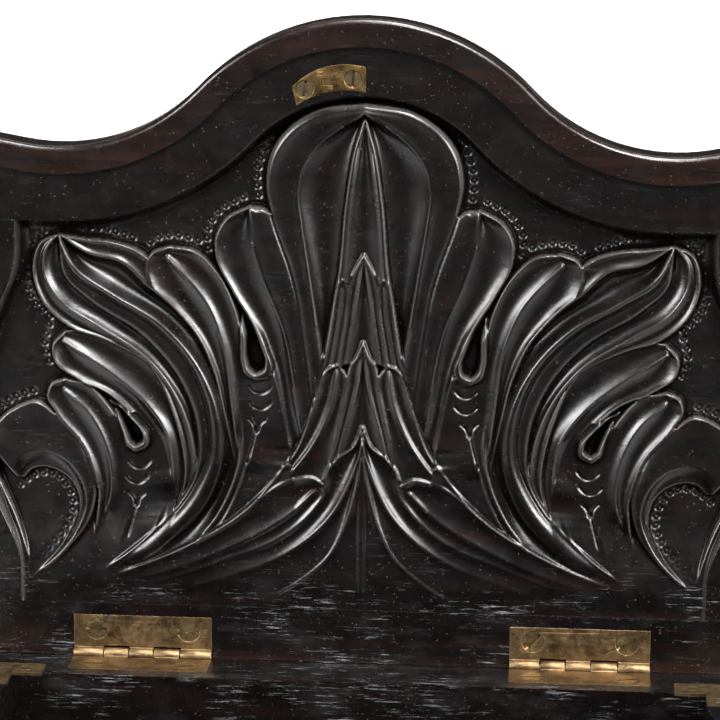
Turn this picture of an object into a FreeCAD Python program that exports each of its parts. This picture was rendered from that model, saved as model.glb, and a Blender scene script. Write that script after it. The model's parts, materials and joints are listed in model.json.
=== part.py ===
"""Carved ebony pillow box: a serpentine box with a hinged, carved lid that serves as a headrest.

Frame: +X right, +Y back, +Z up, origin at the centre of the underside.  The lid's pieces are drawn
closed, lying on the rim, and then swung open about the hinge axis by their Placement.
Plan positions are given as (x, v), where v is the distance forward of the case's back face.
"""
import FreeCAD, Part
import math
import os
from FreeCAD import Placement, Rotation, Vector

doc = FreeCAD.newDocument("pillow_box")

# ---------------------------------------------------------------- driving dimensions (mm, degrees)
DIMENSIONS = {
    "case_height": 86, "case_depth": 219, "back_wall": 17.5, "board": 9,
    "lid_width": 300, "lid_apex": 229.8, "crest_radius": 80.7, "shoulder_radius": 68.6,
    "shoulder_reach": 108, "shoulder_dip": 183.6, "shoulder_end": 120,
    "side_bulge": 14, "side_notch": 7.5, "side_top": 147, "side_low": 29,
    "moulding_width": 9.8, "moulding_gap": 0.5, "moulding_height": 15, "lip_drop": 1.8,
    "lip_back": 5, "band_width": 26.4, "hinge_rail": 16.5, "frame_thick": 12, "ground_depth": 7,
    "top_board": 12, "dish_depth": 5, "dish_radius": 640, "rim_gap": 0.3,
    "hinge_length": 50.6, "hinge_centre": 79.2, "leaf_depth": 12.1, "leaf_thick": 1.5,
    "knuckle_radius": 2.3, "knuckle_gap": 0.3, "pin_radius": 0.9, "open_angle": 93,
    "screw_head": 3.9, "screw_sink": 2.2, "screw_shank": 1.4, "screw_length": 9,
    "strap_width": 9, "strap_reach": 11, "strap_thick": 1.2, "base_width": 7.3, "base_height": 14,
    "lock_height": 30, "plate_thick": 1.2, "slot_width": 0.9, "slot_depth": 1,
}
sheet = doc.addObject("Spreadsheet::Sheet", "dims")
for row, (alias, number) in enumerate(DIMENSIONS.items(), start=1):
    sheet.set("A%d" % row, alias)
    sheet.set("B%d" % row, str(number))
    sheet.setAlias("B%d" % row, alias)
doc.recompute()


def size(alias):
    """A driving dimension, read back from the sheet."""
    return float(getattr(sheet, alias))


RIM = size("case_height")
BACK = size("case_depth") / 2
LID_ZERO = RIM + size("rim_gap")
AXIS = Vector(0, BACK + size("knuckle_radius") + size("knuckle_gap"), RIM + size("rim_gap") / 2)
SWING = Placement(Vector(), Rotation(Vector(1, 0, 0), -size("open_angle")), AXIS)
nodes = {}


# ---------------------------------------------------------------- small builders
def bind(thing, **formulas):
    """Bind properties to the sheet; a double underscore in a name stands for a full stop."""
    for name, formula in formulas.items():
        thing.setExpression(name.replace("__", "."), str(formula))
    return thing


def box(x, v, z):
    """A block given as (low, high) pairs of formulas along x, forward of the back face and up."""
    block = doc.addObject("Part::Box", "block")
    back_face = "dims.case_depth / 2"
    bind(block, Length="(%s) - (%s)" % (x[1], x[0]), Width="(%s) - (%s)" % (v[1], v[0]),
         Height="(%s) - (%s)" % (z[1], z[0]))
    return bind(block, Placement__Base__x=x[0], Placement__Base__y="%s - (%s)" % (back_face, v[1]),
                Placement__Base__z=z[0])


def rod(x, v, z, radius, height):
    """An upright cylinder whose foot is at height z."""
    cylinder = doc.addObject("Part::Cylinder", "rod")
    bind(cylinder, Radius=radius, Height=height)
    return bind(cylinder, Placement__Base__x=x, Placement__Base__y="dims.case_depth / 2 - (%s)" % v,
                Placement__Base__z=z)


def cross_rod(x, radius, length):
    """A cylinder along X on the hinge axis, starting at x."""
    cylinder = doc.addObject("Part::Cylinder", "cross_rod")
    cylinder.Placement = Placement(Vector(0, AXIS.y, AXIS.z), Rotation(Vector(0, 1, 0), 90))
    return bind(cylinder, Radius=radius, Height=length, Placement__Base__x=x)


def cut(base, *tools):
    """The base less its tools."""
    for tool in tools:
        result = doc.addObject("Part::Cut", "cut")
        result.Base = base
        result.Tool = tool
        base = result
    return base


def common(base, tool):
    """What two shapes share."""
    result = doc.addObject("Part::MultiCommon", "common")
    result.Shapes = [base, tool]
    return result


def fuse(*shapes):
    """Several shapes as one solid."""
    result = doc.addObject("Part::MultiFuse", "fuse")
    result.Shapes = list(shapes)
    result.Refine = True
    return result


def group(*shapes):
    """Separate solids kept in one node."""
    result = doc.addObject("Part::Compound", "group")
    result.Links = list(shapes)
    return result


def node(name, shape, swing=None):
    """Name a finished piece, and swing it open when it belongs to the lid."""
    shape.Label = name
    if swing is not None:
        shape.Placement = swing
    nodes[name] = shape
    return shape


# ---------------------------------------------------------------- the serpentine plan
def toward(start, end, reach):
    """The point at a given reach from start on the way to end."""
    return start + (end - start) * (reach / (end - start).Length)


def plan_edges(inset, back):
    """The left half of the plan, moved inwards by an inset, from the crest round to the back line."""
    crest_radius = size("crest_radius")
    shoulder_radius = size("shoulder_radius")
    crest = Vector(0, size("lid_apex") - crest_radius)
    shoulder = Vector(-size("shoulder_reach"), size("shoulder_dip") + shoulder_radius)
    meet = toward(crest, shoulder, crest_radius - inset)
    side_x = -size("lid_width") / 2 + inset
    notch = size("side_notch")
    # the side runs notch, bulge, notch: arcs that meet where they share a tangent
    upper = Vector(-size("lid_width") / 2 - notch, size("side_top"))
    lower = Vector(-size("lid_width") / 2 - notch, size("side_low"))
    half_side = (size("side_top") - size("side_low")) / 2
    reach = size("side_bulge") - notch
    bulge_radius = (reach * reach + half_side * half_side - notch * notch) / (2 * (notch + reach))
    widest = size("lid_width") / 2 + size("side_bulge")
    bulge = Vector(bulge_radius - widest, size("side_low") + half_side)
    # beyond the dip the plan runs on as a straight tangent to the corner
    swing_x = size("shoulder_end") - size("shoulder_reach")
    spoke = Vector(-swing_x, -math.sqrt(shoulder_radius ** 2 - swing_x ** 2))
    spoke.normalize()
    radius = shoulder_radius + inset
    if inset > size("moulding_width") * 2:
        spoke = Vector(0, -1)
    dip_end = shoulder + spoke * radius
    tangent = Vector(spoke.y, -spoke.x)
    corner = dip_end + tangent * ((side_x - dip_end.x) / tangent.x)
    half_way = toward(shoulder, crest, radius) - shoulder + spoke * radius
    dip_middle = shoulder + half_way.normalize() * radius
    crest_top = crest + Vector(0, crest_radius - inset)
    crest_middle = crest + (meet - crest + crest_top - crest).normalize() * (crest_radius - inset)
    notch_radius = notch + inset
    side_radius = bulge_radius - inset
    upper_end = toward(upper, bulge, notch_radius)
    lower_end = toward(lower, bulge, notch_radius)
    upper_start = Vector(side_x, upper.y)
    lower_start = Vector(side_x, lower.y)
    upper_middle = upper + (upper_end - upper + upper_start - upper).normalize() * notch_radius
    lower_middle = lower + (lower_end - lower + lower_start - lower).normalize() * notch_radius
    bulge_tip = Vector(bulge.x - side_radius, bulge.y)
    return [
        (crest_top, crest_middle, meet), (meet, dip_middle, dip_end), (dip_end, corner),
        (corner, upper_start), (upper_start, upper_middle, upper_end), (upper_end, bulge_tip, lower_end),
        (lower_end, lower_middle, lower_start), (lower_start, Vector(side_x, back)),
    ]


def edge(points):
    """A straight run through two points or an arc through three, moved into the model's frame."""
    placed = [Vector(p.x, BACK - p.y, 0) for p in points]
    if len(placed) == 2:
        return Part.LineSegment(*placed).toShape()
    return Part.Arc(*placed).toShape()


def mirrored(points):
    """The same points on the right-hand side."""
    return [Vector(-p.x, p.y) for p in points]


def plan(inset, back=0.0):
    """The closed plan outline at an inset, with its back line at v = back."""
    left = plan_edges(inset, back)
    edges = [edge(points) for points in left]
    edges += [edge(mirrored(points)) for points in left]
    edges.append(edge((left[-1][-1], mirrored(left[-1])[-1])))
    feature = doc.addObject("Part::Feature", "plan")
    feature.Shape = Part.Wire(Part.__sortEdges__(edges))
    return feature


def slab(outline, bottom, height):
    """A plate of the outline's plan; bottom and height are formulas."""
    plate = doc.addObject("Part::Extrusion", "slab")
    plate.Base = outline
    plate.DirMode = "Custom"
    plate.Dir = Vector(0, 0, 1)
    plate.Solid = True
    return bind(plate, LengthFwd=height, Placement__Base__z=bottom)


CLOSE = 0.02


def rounded(shape, outline, height, radius):
    """Round the edges that follow an outline at a given height."""
    doc.recompute()
    picked = []
    for number, line in enumerate(shape.Shape.Edges, start=1):
        middle = line.valueAt((line.FirstParameter + line.LastParameter) / 2)
        flat = Part.Vertex(middle.x, middle.y, 0)
        on_outline = outline.Shape.distToShape(flat)[0] < CLOSE
        if on_outline and abs(middle.z - height) < CLOSE:
            picked.append((number, radius, radius))
    result = doc.addObject("Part::Fillet", "rounded")
    result.Base = shape
    result.Edges = picked
    return result


LID = "dims.case_height + dims.rim_gap"
# cutting blocks reach past every outline: this wide, and this far forward
WIDE = 400
FRONT = 260
case_inset = size("moulding_width") + size("moulding_gap")
plan_moulding = plan(0, -size("lip_back"))
plan_frame = plan(size("moulding_width"))
plan_case = plan(case_inset)
plan_cavity = plan(size("band_width"), size("back_wall"))
plan_opening = plan(size("band_width"), size("hinge_rail"))
plan_base = plan(case_inset - size("base_width"))


# ---------------------------------------------------------------- screws
def screw_body(x, v, top, radius, spare, upside_down):
    """A countersunk screw without its slot, its head flush with height top, grown by a spare radius."""
    head = doc.addObject("Part::Cone", "head")
    bind(head, Radius1="dims.screw_shank + %s" % spare, Radius2="%s + %s" % (radius, spare),
         Height="dims.screw_sink")
    head.Placement = Placement(Vector(0, 0, -size("screw_sink")), Rotation())
    shank = doc.addObject("Part::Cylinder", "shank")
    bind(shank, Radius="dims.screw_shank", Height="dims.screw_length - dims.screw_sink + 0.5")
    shank.Placement = Placement(Vector(0, 0, -size("screw_length")), Rotation())
    body = fuse(head, shank)
    half_turn = Rotation(Vector(0, 1, 0), 180 if upside_down else 0)
    body.Placement = Placement(Vector(x, BACK - v, top), half_turn)
    return body


HOLE_SPARE = 0.22


def screw_row(places, top, radius="dims.screw_head", upside_down=False):
    """Screws at (x, v, turn): the slotted screws, and slightly wider bodies that cut their holes."""
    screws = []
    holes = []
    slot_length = 12
    depth = size("slot_depth")
    for x, v, turn in places:
        slot = doc.addObject("Part::Box", "slot")
        bind(slot, Length=slot_length, Width="dims.slot_width", Height="dims.slot_depth * 2")
        spin = Rotation(Vector(0, 0, 1), turn)
        corner = Vector(slot_length / 2, size("slot_width") / 2, depth)
        slot.Placement = Placement(Vector(x, BACK - v, top) - spin.multVec(corner), spin)
        screws.append(cut(screw_body(x, v, top, radius, 0, upside_down), slot))
        holes.append(screw_body(x, v, top, radius, HOLE_SPARE, upside_down))
    return group(*screws), group(*holes)


# ---------------------------------------------------------------- hinges
def hinge_side(sign):
    """x of a hinge's left end."""
    return sign * size("hinge_centre") - size("hinge_length") / 2


# where one knuckle ends and the next begins, as shares of the hinge's length
KNUCKLES = (0.0, 0.22, 0.40, 0.58, 0.77, 1.0)


def knuckle_row(start, own, gap):
    """Knuckles of one leaf with the tongues that join them to it; own picks odd or even places."""
    pieces = []
    length = size("hinge_length")
    for place, (low, high) in enumerate(zip(KNUCKLES, KNUCKLES[1:])):
        if place % 2 == own:
            x0 = start + low * length + (gap if place > 0 else 0)
            x1 = start + high * length - (gap if place < 4 else 0)
            pieces.append((x0, x1))
    return pieces


def hinge_leaf(start, on_lid):
    """One leaf let in flush, with its rolled knuckles bored for the pin."""
    gap = 0.1
    low = "dims.case_height - dims.leaf_thick"
    if on_lid:
        low = LID
    high = "(%s) + dims.leaf_thick" % low
    end = start + size("hinge_length")
    parts = [box((start, end), ("dims.knuckle_gap", "dims.leaf_depth"), (low, high))]
    for x0, x1 in knuckle_row(start, 0 if on_lid else 1, gap):
        parts.append(cross_rod(x0, "dims.knuckle_radius", x1 - x0))
        reach = "-(dims.knuckle_radius + dims.knuckle_gap)"
        parts.append(box((x0, x1), (reach, "dims.knuckle_gap + 0.5"), (low, high)))
    bore = cross_rod(start - 1, "dims.pin_radius + 0.05" if on_lid else "dims.pin_radius",
                     "dims.hinge_length + 2")
    return cut(fuse(*parts), bore)


def hinge_screw_places(turns):
    """Two screws in each leaf, left hinge first; each turn is the way a slot points, in degrees."""
    half_pitch = 16.8
    screw_line = 6.7
    places = []
    for sign, pair in zip((-1, 1), turns):
        for side, turn in zip((-1, 1), pair):
            places.append((sign * size("hinge_centre") + side * half_pitch, screw_line, turn))
    return places


case_screws, case_screw_holes = screw_row(hinge_screw_places(((0, 8), (5, 12))), RIM)
lid_places = hinge_screw_places(((0, 4), (-50, -33)))
lid_screws, lid_screw_holes = screw_row(lid_places, LID_ZERO, upside_down=True)
node("hinge_screws_case", case_screws)
node("hinge_screws_lid", lid_screws, SWING)
leaf_beds_case = []
leaf_beds_lid = []
for sign, hand in ((-1, "left"), (1, "right")):
    start = hinge_side(sign)
    end = start + size("hinge_length")
    node("hinge_leaf_case_" + hand, cut(hinge_leaf(start, False), case_screw_holes))
    node("hinge_leaf_lid_" + hand, cut(hinge_leaf(start, True), lid_screw_holes), SWING)
    node("hinge_pin_" + hand, cross_rod(start, "dims.pin_radius", "dims.hinge_length"))
    leaf_beds_case.append(box((start, end), (-1, "dims.leaf_depth"),
                              ("dims.case_height - dims.leaf_thick", "dims.case_height + 1")))
    leaf_beds_lid.append(box((start, end), (-1, "dims.leaf_depth"),
                             ("%s - 1" % LID, "%s + dims.leaf_thick" % LID)))

# ---------------------------------------------------------------- rim corner straps
INNER_X = size("lid_width") / 2 - size("band_width")
INNER_FRONT = size("shoulder_dip") - size("band_width")
# a strap's two screws sit this far from the inner corner, one along each arm
STRAP_SCREW = 4.5
strap_screw_places = []
straps = {}
for sign, hand in ((-1, "left"), (1, "right")):
    for v_corner, forward, end_name in ((size("back_wall"), 1, "back"), (INNER_FRONT, -1, "front")):
        inner = sign * INNER_X
        outer = sign * (INNER_X + size("strap_width"))
        tip = sign * (INNER_X - size("strap_reach"))
        far = v_corner - forward * size("strap_width")
        near = v_corner + forward * size("strap_reach")
        heights = ("dims.case_height - dims.strap_thick", "dims.case_height")
        along_back = box(sorted((outer, tip)), sorted((far, v_corner)), heights)
        along_side = box(sorted((outer, inner)), sorted((far, near)), heights)
        straps["corner_strap_%s_%s" % (end_name, hand)] = fuse(along_back, along_side)
        strap_screw_places.append((sign * (INNER_X - STRAP_SCREW), v_corner - forward * STRAP_SCREW))
        strap_screw_places.append((sign * (INNER_X + STRAP_SCREW), v_corner + forward * (STRAP_SCREW + 1)))


def small_screws(places, surface, radius, length):
    """Small screws with flat round heads let in level with a surface, given as a formula."""
    pieces = []
    head_thick = 0.8
    for x, v in places:
        head = rod(x, v, "%s - %s" % (surface, head_thick), radius, head_thick)
        shank = rod(x, v, "%s - %s" % (surface, length), radius * 0.5, length)
        pieces.append(fuse(head, shank))
    return group(*pieces)


strap_screws = small_screws(strap_screw_places, "dims.case_height", 1.9, 7)
node("corner_strap_screws", strap_screws)
for name, strap in straps.items():
    node(name, cut(strap, strap_screws))
strap_beds = group(*straps.values())

# ---------------------------------------------------------------- lock in the front wall
LOCK_X = (-22, 9)
LOCK_V = (204.4, 212.2)
LOCK_MIDDLE = 208.5
SHEET = 0.8
KEY_X = -2
KEY_Z = RIM - 19
lock_low = "dims.case_height - dims.lock_height"
lock_high = "dims.case_height - dims.plate_thick"
mortise = box(LOCK_X, LOCK_V, (lock_low, "dims.case_height + 1"))
shell = box(LOCK_X, LOCK_V, (lock_low, lock_high))
hollow = box((LOCK_X[0] + 1, LOCK_X[1] - 1), (LOCK_V[0] + SHEET, LOCK_V[1] - SHEET),
             ("%s + 1" % lock_low, "dims.case_height"))


def forward_rod(z, v, radius, length):
    """A cylinder on the key's centre line that runs forward from v at height z."""
    cylinder = doc.addObject("Part::Cylinder", "forward_rod")
    cylinder.Radius = radius
    cylinder.Height = length
    cylinder.Placement = Placement(Vector(KEY_X, BACK - v, z), Rotation(Vector(1, 0, 0), 90))
    return cylinder


# the keyway: a round hole with a slit below it, through the lock's front and the wall
keyway_slit = box((KEY_X - 0.7, KEY_X + 0.7), (LOCK_V[0] + 1.6, 240), (KEY_Z - 5, KEY_Z))
keyway = fuse(forward_rod(KEY_Z, 205, 1.8, 40), keyway_slit)
node("lock_case", cut(shell, hollow, keyway))

slot_for_hooks = box((-17.3, -8.2), (LOCK_V[0] + SHEET, LOCK_V[1] - SHEET),
                     ("dims.case_height - 3", "dims.case_height + 1"))
selvedge = box((LOCK_X[0] - 5, LOCK_X[1] + 5), (LOCK_V[0], LOCK_V[1] + 0.4), (lock_high, "dims.case_height"))
lock_screws = small_screws([(LOCK_X[0] - 2.4, LOCK_MIDDLE), (LOCK_X[1] + 2.4, LOCK_MIDDLE)],
                           "dims.case_height", 1.7, 9)
node("lock_screws", lock_screws)
node("lock_selvedge", cut(selvedge, slot_for_hooks, lock_screws))

# the bolt: a flat bar that slides over the hooks' barbs, with a tail and a talon for the key's bit
BOLT_V = (LOCK_V[0] + 1.2, LOCK_V[1] - 1.2)
BOLT_END = 3.5
BAR_LOW = "dims.case_height - 4.1"
bolt_bar = box((-9.3, BOLT_END), BOLT_V, (BAR_LOW, "dims.case_height - 1.7"))
bolt_tail = box((BOLT_END - 3, BOLT_END), BOLT_V, (KEY_Z + 2.6, BAR_LOW))
bolt_talon = box((BOLT_END - 7, BOLT_END), BOLT_V, (KEY_Z + 2.6, KEY_Z + 4.6))
node("lock_bolt", fuse(bolt_bar, bolt_tail, bolt_talon))
spring_x = LOCK_X[1] - 3.1
spring_bow = cut(rod(spring_x, LOCK_MIDDLE, RIM - 26, 1.8, 4), rod(spring_x, LOCK_MIDDLE, RIM - 27, 1.3, 6))
node("lock_spring", spring_bow)

# the escutcheon: an oval of brass sheet bent to the front's curve, held by two pins
SKIN = 0.9
crest_front = size("lid_apex") - case_inset
escutcheon_oval = doc.addObject("Part::Ellipse", "escutcheon_outline")
escutcheon_oval.MajorRadius = 13
escutcheon_oval.MinorRadius = 7.5
escutcheon_oval.Placement = Placement(Vector(KEY_X, 0, KEY_Z - 1.5), Rotation(Vector(1, 1, 1), 240))
doc.recompute()
escutcheon_block = doc.addObject("Part::Extrusion", "escutcheon_block")
escutcheon_block.Base = escutcheon_oval
escutcheon_block.DirMode = "Custom"
escutcheon_block.Dir = Vector(0, -1, 0)
escutcheon_block.LengthFwd = 12
escutcheon_block.Solid = True
escutcheon_block.Placement = Placement(Vector(0, BACK - crest_front + 6, 0), Rotation())
skin_heights = (RIM - 60, 50)
escutcheon_skin = cut(slab(plan(case_inset - SKIN), *skin_heights), slab(plan_case, RIM - 61, 52))
pins = [forward_rod(height, crest_front - 4, 0.7, 5) for height in (KEY_Z + 8.5, KEY_Z - 11.5)]
escutcheon_pins = group(*pins)
node("escutcheon_pins", escutcheon_pins)
node("escutcheon", cut(common(escutcheon_block, escutcheon_skin), keyway, escutcheon_pins))

# ---------------------------------------------------------------- case
walls = cut(slab(plan_case, "dims.board", "dims.case_height - dims.board"),
            slab(plan_cavity, 0, "dims.case_height + 1"), *leaf_beds_case)
walls = cut(walls, case_screw_holes, strap_beds, strap_screws)
LEFT = (-WIDE / 2, 0)
RIGHT = (0, WIDE / 2)
ACROSS = (-WIDE / 2, WIDE / 2)
front_face = INNER_FRONT
case_heights = (0, "dims.case_height")
middle = ("dims.back_wall", front_face)
front_wall = common(walls, box(ACROSS, (front_face, FRONT), case_heights))
node("case_front", cut(front_wall, mortise, selvedge, lock_screws, keyway, escutcheon_pins))
node("case_left", common(walls, box(LEFT, middle, case_heights)))
node("case_right", common(walls, box(RIGHT, middle, case_heights)))
node("case_back", common(walls, box(ACROSS, (-5, "dims.back_wall"), case_heights)))
node("bottom_board", slab(plan_case, 0, "dims.board"))
base_ring = cut(slab(plan_base, 0, "dims.base_height"), slab(plan_case, -1, "dims.base_height + 2"))
base_ring = rounded(base_ring, plan_base, size("base_height"), size("base_width") * 0.6)
base_heights = (0, "dims.base_height")
node("base_moulding_front", common(base_ring, box(ACROSS, (front_face, FRONT), base_heights)))
node("base_moulding_left", common(base_ring, box(LEFT, (-5, front_face), base_heights)))
node("base_moulding_right", common(base_ring, box(RIGHT, (-5, front_face), base_heights)))

# ---------------------------------------------------------------- lid frame
lid_top = "(%s) + dims.frame_thick" % LID
opening = slab(plan_opening, "%s - 1" % LID, "dims.frame_thick + 2")
frame = cut(slab(plan_frame, LID, "dims.frame_thick"), opening, *leaf_beds_lid, lid_screw_holes)
frame_heights = (LID, lid_top)
middle = ("dims.hinge_rail", front_face)
rail_front = common(frame, box(ACROSS, (front_face, FRONT), frame_heights))
node("lid_stile_left", common(frame, box(LEFT, middle, frame_heights)), SWING)
node("lid_stile_right", common(frame, box(RIGHT, middle, frame_heights)), SWING)
node("lid_rail_back", common(frame, box(ACROSS, (-6, "dims.hinge_rail"), frame_heights)), SWING)

# curved link plate let into the front rail, with the two hooks that the bolt catches
plate_points = ((-25.3, 205.7), (-14.5, 212.6), (0.4, 212.9), (0.4, 204.1), (-12.5, 203.9), (-23.7, 199.0))
plate_corners = [Vector(x, v) for x, v in plate_points]
plate_outline = doc.addObject("Part::Feature", "plate_outline")
plate_outline.Shape = Part.Wire([
    edge(plate_corners[0:3]), edge(plate_corners[2:4]),
    edge(plate_corners[3:6]), edge((plate_corners[5], plate_corners[0])),
])
plate = slab(plate_outline, LID, "dims.plate_thick")
link_places = ((-20.9, 204.9, -80), (-4.1, 208.7, -84))
LINK_SCREW_HEAD = 2.9
link_screws, link_holes = screw_row(link_places, LID_ZERO, LINK_SCREW_HEAD, upside_down=True)
node("link_plate_screws", link_screws, SWING)
# each hook's barb reaches right from the stem, low enough to pass under the bolt's bar
HOOK_STEM = (-16.4, -14.6)
HOOK_V = (205.8, 210.8)
BARB_WIDTH = 1.4
hook_low = "%s - 6.6" % LID
barb_high = "%s - 4.8" % LID
hooks = [box(HOOK_STEM, HOOK_V, (hook_low, "%s + 0.5" % LID))]
for v in (HOOK_V[0], HOOK_V[1] - BARB_WIDTH):
    hooks.append(box((HOOK_STEM[0] + 1, HOOK_STEM[1] + 4), (v, v + BARB_WIDTH), (hook_low, barb_high)))
node("link_plate", cut(fuse(plate, *hooks), link_holes), SWING)
node("lid_rail_front", cut(rail_front, plate, link_holes), SWING)

# ---------------------------------------------------------------- carved panel
FIELD_TOP = "(%s) + dims.ground_depth" % LID
# Each leaf of the left half: the depth of its crown under the lid's face, then its two edges,
# both from the root to the tip, as (x, v).
LEAVES = {
    "spear": (1.2, ((0, 140), (-13, 142), (-9, 162), (-6, 178), (0, 195)), ((0, 140), (0, 195))),
    "plume": (1.5, ((-17, 96), (-21, 112), (-27, 140), (-33, 160), (-33, 176), (-24, 190), (-8, 197)),
              ((-17, 96), (-12, 130), (-9, 160), (-4, 184), (-8, 197))),
    "inner_leaf": (2.2, ((-24, 84), (-33, 109), (-43, 127), (-50, 142), (-53, 152), (-49, 160), (-40, 163)),
                   ((-24, 84), (-23, 104), (-27, 140), (-33, 158), (-40, 163))),
    "middle_leaf": (2.4, ((-46, 68), (-51, 94), (-59, 116), (-70, 128), (-77, 140), (-71, 147)),
                    ((-46, 68), (-43, 104), (-45, 126), (-56, 144), (-71, 147))),
    "long_leaf": (0.9, ((-93, 29), (-72, 47), (-57, 72), (-60, 98), (-78, 120), (-100, 132), (-109, 152)),
                  ((-93, 29), (-64, 42), (-51, 74), (-57, 106), (-77, 136), (-90, 149), (-109, 152))),
    "outer_leaf": (2.0, ((-63, 66), (-69, 90), (-80, 108), (-102, 117), (-115, 127), (-117, 143), (-110, 152)),
                   ((-63, 66), (-61, 84), (-72, 107), (-98, 127), (-108, 138), (-110, 152))),
    "low_leaf": (2.4, ((-71, 52), (-76, 78), (-91, 94), (-108, 103), (-112, 110), (-107, 117)),
                 ((-71, 52), (-67, 82), (-80, 106), (-95, 112), (-107, 117))),
    "small_leaf": (2.8, ((-94, 46), (-98, 66), (-107, 84), (-114, 93), (-104, 99)),
                   ((-94, 46), (-86, 72), (-92, 92), (-104, 99))),
    "crescent": (2.0, ((-120, 25), (-106, 40), (-102, 52), (-108, 64), (-123, 66), (-124, 76), (-114, 90)),
                 ((-120, 25), (-99, 45), (-98, 66), (-106, 82), (-114, 90))),
    "spoon": (2.2, ((-82, 31), (-52, 33), (-31, 47), (-14, 62)), ((-82, 31), (-50, 48), (-30, 64), (-14, 62))),
    "foot_leaf": (3.2, ((-52, 24), (-26, 26), (-10, 41), (0, 76)), ((-52, 24), (-25, 39), (-7, 57), (0, 76))),
    "rib_leaf": (2.0, ((-29, 69), (-20, 86), (-10, 106)), ((-29, 69), (-17, 76), (-7, 96), (-10, 106))),
    "bud": (1.8, ((-13, 106), (-14, 120), (-7, 137)), ((-13, 106), (-8, 118), (-7, 137))),
}


def leaf_pair(depth, outer_edge, inner_edge):
    """One raised leaf of the carving and its twin across the centre line."""
    pair = []
    for flip in (1, -1):
        sides = []
        for points in (outer_edge, inner_edge):
            placed = [Vector(flip * x, BACK - v, 0) for x, v in points]
            if len(placed) == 2:
                sides.append(Part.LineSegment(*placed).toShape())
                continue
            curve = Part.BSplineCurve()
            curve.interpolate(placed)
            sides.append(curve.toShape())
        outline = doc.addObject("Part::Feature", "leaf_outline")
        outline.Shape = Part.Wire(sides)
        pair.append(slab(outline, "%s + %s" % (LID, depth), "dims.ground_depth + 1 - %s" % depth))
    return pair


leaves = []
for depth, outer_edge, inner_edge in LEAVES.values():
    leaves += leaf_pair(depth, outer_edge, inner_edge)
middle_stem = box((-2.5, 2.5), (24, 150), ("%s + 3.6" % LID, "%s + 1" % FIELD_TOP))
ground = slab(plan_opening, FIELD_TOP, "dims.frame_thick - dims.ground_depth")
carving = common(fuse(*leaves, middle_stem), slab(plan_opening, LID, "dims.frame_thick"))
node("carved_panel", fuse(ground, carving), SWING)

# ---------------------------------------------------------------- lid mouldings and top board
lip_low = "%s - dims.lip_drop" % LID
moulding_high = "(%s) + dims.moulding_height" % LID
ring = cut(slab(plan_moulding, lip_low, "dims.moulding_height + dims.lip_drop"),
           slab(plan_frame, "%s - 1" % lip_low, "dims.moulding_height + dims.lip_drop + 2"))
outer_round = size("lip_back") * 0.8
ring = rounded(ring, plan_moulding, LID_ZERO - size("lip_drop"), size("lip_drop") * 1.2)
ring = rounded(ring, plan_moulding, LID_ZERO + size("moulding_height"), outer_round)
ring_heights = (lip_low, moulding_high)
middle = (0, front_face)
node("lid_moulding_front", common(ring, box(ACROSS, (front_face, FRONT), ring_heights)), SWING)
node("lid_moulding_left", common(ring, box(LEFT, middle, ring_heights)), SWING)
node("lid_moulding_right", common(ring, box(RIGHT, middle, ring_heights)), SWING)
back_strip = common(ring, box(ACROSS, (-8, 0), ring_heights))
# the lip behind the hinge line starts at the axis, so that it can swing past the case's back
clear_front = box(ACROSS, ("-(dims.knuckle_radius + dims.knuckle_gap)", 2), (lip_low, LID))
knuckle_room = []
for sign in (-1, 1):
    start = hinge_side(sign)
    knuckle_room.append(box((start - 0.4, start + size("hinge_length") + 0.4), (-8, 2),
                            ("%s - 4" % LID, "%s + dims.knuckle_radius + 0.5" % LID)))
node("lid_moulding_back", cut(back_strip, clear_front, *knuckle_room), SWING)

top = slab(plan_frame, lid_top, "dims.top_board")
top = rounded(top, plan_frame, LID_ZERO + size("frame_thick") + size("top_board"), 3.5)
dish = doc.addObject("Part::Cylinder", "dish")
dish_axis = LID_ZERO + size("frame_thick") + size("top_board") + size("dish_radius") - size("dish_depth")
bind(dish, Radius="dims.dish_radius", Height=WIDE)
dish.Placement = Placement(Vector(-WIDE / 2, 0, dish_axis), Rotation(Vector(0, 1, 0), 90))
node("lid_top_board", cut(top, dish), SWING)

# ---------------------------------------------------------------- check and write
doc.recompute()
for thing in doc.Objects:
    if "Invalid" in thing.State or "Error" in thing.State:
        raise SystemExit("%s failed: %s" % (thing.Label, thing.State))
for name, piece in nodes.items():
    if piece.Shape.isNull() or not piece.Shape.isValid() or piece.Shape.Volume <= 0:
        raise SystemExit("%s has no sound shape" % name)
os.makedirs("parts", exist_ok=True)
for name, piece in nodes.items():
    piece.Shape.exportStep("parts/%s.step" % name)
    print("%-22s %2d solid(s) %10.1f mm3" % (name, len(piece.Shape.Solids), piece.Shape.Volume))
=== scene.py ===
"""Looks of the carved ebony pillow box: carving, finishes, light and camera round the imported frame."""
import json
import math
import bpy
import numpy as np
from mathutils import Matrix, Vector


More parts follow.
